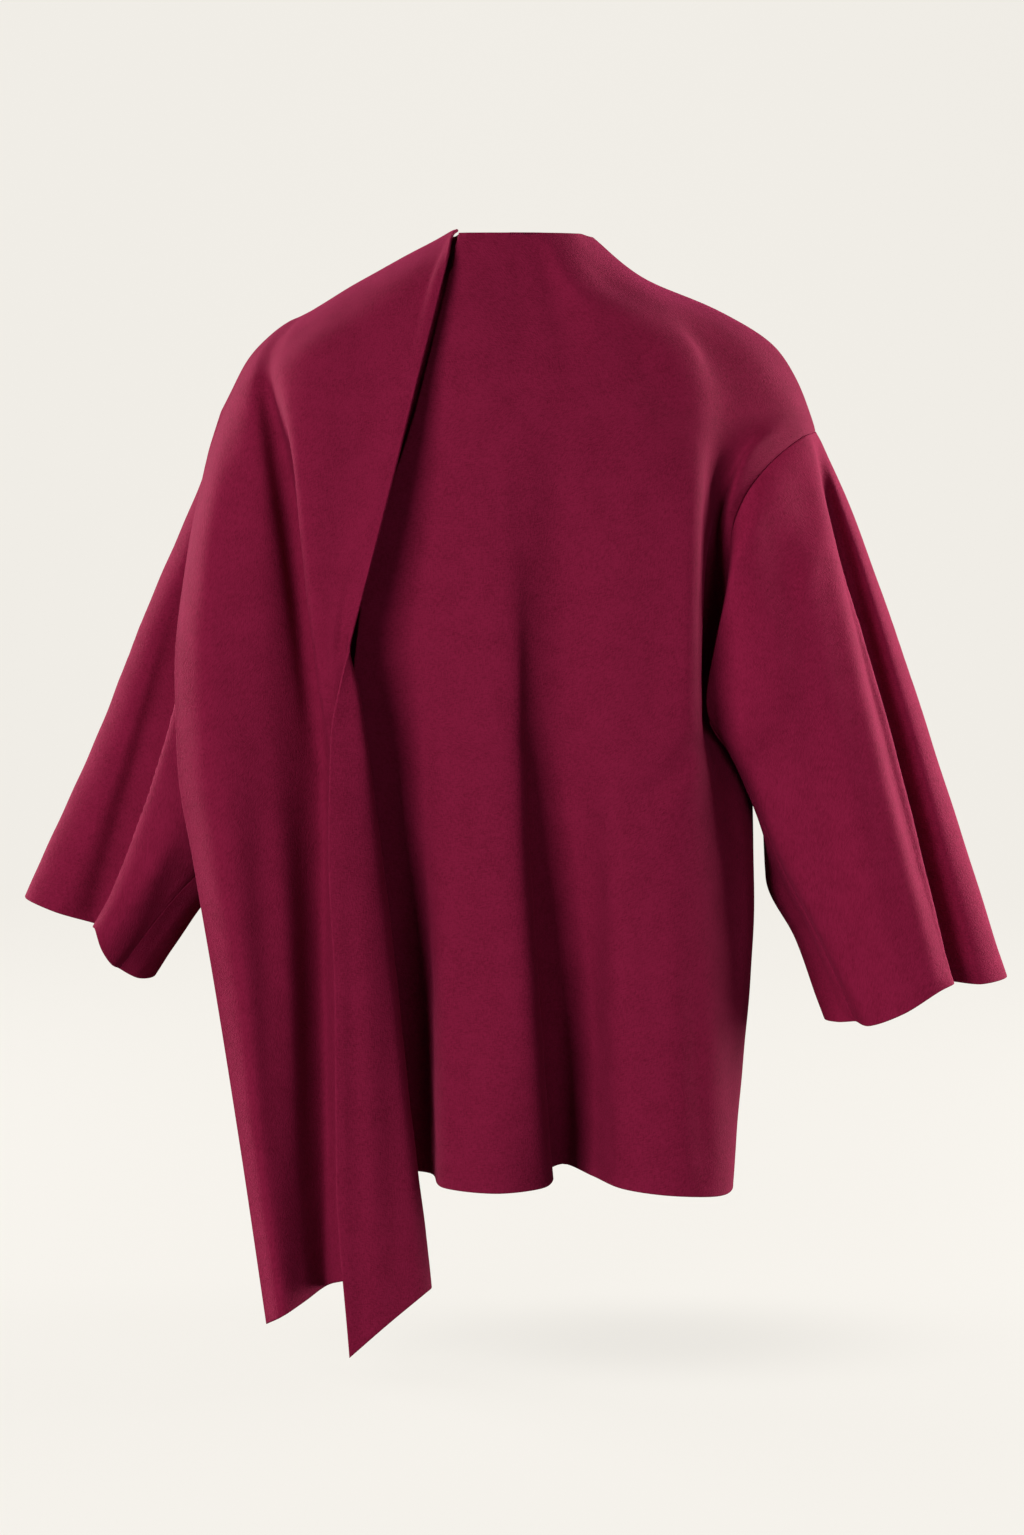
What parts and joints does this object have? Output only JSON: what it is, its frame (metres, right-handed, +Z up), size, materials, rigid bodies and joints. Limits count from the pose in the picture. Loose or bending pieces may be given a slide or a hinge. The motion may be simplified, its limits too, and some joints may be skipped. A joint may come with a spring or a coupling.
{
  "type": "cape jacket",
  "caption": "Collarless wool jacket filled out with no wearer: high neck, wide dropped sleeves, and a long cape panel that falls from the right shoulder in pointed tails.",
  "frame": {"origin": "between the shoulders at the base of the neck, where the jacket rests on the wearer", "axes": "-Y out of the front, +X to the wearer's left, +Z up"},
  "size_m": [0.8421, 0.3099, 0.9205],
  "materials": {
    "back": "matte napped wool",
    "left_front": "matte napped wool",
    "right_front": "matte napped wool",
    "left_sleeve": "matte napped wool",
    "right_sleeve": "matte napped wool",
    "cape_panel": "matte napped wool"
  },
  "bodies": {
    "root": {"back": "back", "left_front": "left_front", "right_front": "right_front", "left_sleeve": "left_sleeve", "right_sleeve": "right_sleeve", "cape_panel": "cape_panel"}
  },
  "joints": []
}
